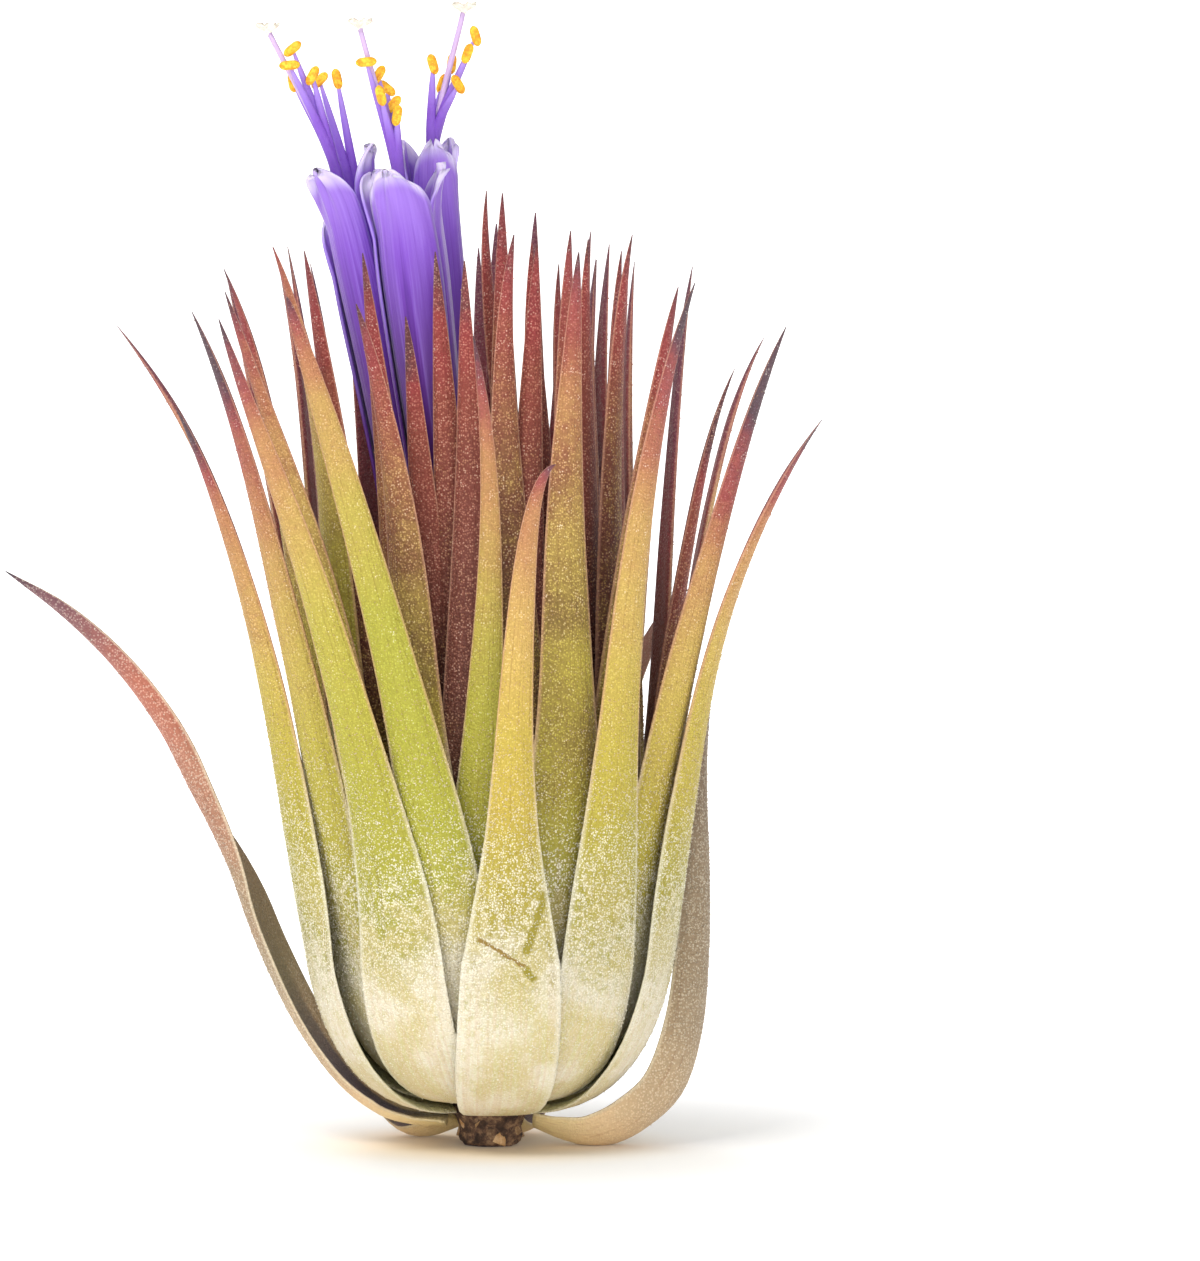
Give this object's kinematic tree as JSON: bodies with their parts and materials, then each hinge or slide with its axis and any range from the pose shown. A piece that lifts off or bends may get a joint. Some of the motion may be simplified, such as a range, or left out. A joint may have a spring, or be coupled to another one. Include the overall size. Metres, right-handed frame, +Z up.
{
  "type": "guatemala ionantha air plant",
  "caption": "Small air plant in flower: a dense vase-shaped rosette of channelled tapering leaves, blushed red inside, with violet tubular flowers, standing on its dry stub.",
  "frame": {"origin": "on the surface the plant stands on, at the middle of the flat underside of its dry stem stub", "axes": "+Z up along the stem, -Y the side that the picture shows, +X to the right in it"},
  "size_m": [0.0613, 0.0404, 0.0859],
  "materials": {
    "dry_stub": "matte",
    "basal_leaf": "matte",
    "outer_leaf": "matte",
    "middle_leaf": "matte",
    "inner_leaf": "matte",
    "flower_stalk": "matte",
    "petal": "satin",
    "stamens_and_style": "satin"
  },
  "bodies": {
    "root": {"stem": "dry_stub", "leaf_basal_back_left": "basal_leaf", "leaf_basal_back_right": "basal_leaf", "leaf_basal_left": "basal_leaf", "leaf_basal_right": "basal_leaf", "leaf_row1_1": "outer_leaf", "leaf_row1_2": "outer_leaf", "leaf_row1_3": "outer_leaf", "leaf_row1_4": "outer_leaf", "leaf_row1_5": "outer_leaf", "leaf_row1_6": "outer_leaf", "leaf_row2_1": "outer_leaf", "leaf_row2_2": "outer_leaf", "leaf_row2_3": "outer_leaf", "leaf_row2_4": "outer_leaf", "leaf_row2_5": "outer_leaf", "leaf_row2_6": "outer_leaf", "leaf_row3_1": "middle_leaf", "leaf_row3_2": "middle_leaf", "leaf_row3_3": "middle_leaf", "leaf_row3_4": "middle_leaf", "leaf_row3_5": "middle_leaf", "leaf_row3_6": "middle_leaf", "leaf_row3_7": "middle_leaf", "leaf_row4_1": "middle_leaf", "leaf_row4_2": "middle_leaf", "leaf_row4_3": "middle_leaf", "leaf_row4_4": "middle_leaf", "leaf_row4_5": "middle_leaf", "leaf_row4_6": "middle_leaf", "leaf_row4_7": "middle_leaf", "leaf_row5_1": "inner_leaf", "leaf_row5_2": "inner_leaf", "leaf_row5_3": "inner_leaf", "leaf_row5_4": "inner_leaf", "leaf_row5_5": "inner_leaf", "leaf_row5_6": "inner_leaf", "leaf_row5_7": "inner_leaf", "leaf_row6_1": "inner_leaf", "leaf_row6_2": "inner_leaf", "leaf_row6_3": "inner_leaf", "leaf_row6_4": "inner_leaf", "leaf_row6_5": "inner_leaf", "leaf_row6_6": "inner_leaf", "leaf_row6_7": "inner_leaf", "heart_leaves": "inner_leaf", "flower_spike": "flower_stalk", "petal_front_1": "petal", "petal_front_2": "petal", "petal_front_3": "petal", "petal_left_1": "petal", "petal_left_2": "petal", "petal_left_3": "petal", "petal_right_1": "petal", "petal_right_2": "petal", "petal_right_3": "petal", "stamens_and_style_front": "stamens_and_style", "stamens_and_style_left": "stamens_and_style", "stamens_and_style_right": "stamens_and_style"}
  },
  "joints": []
}
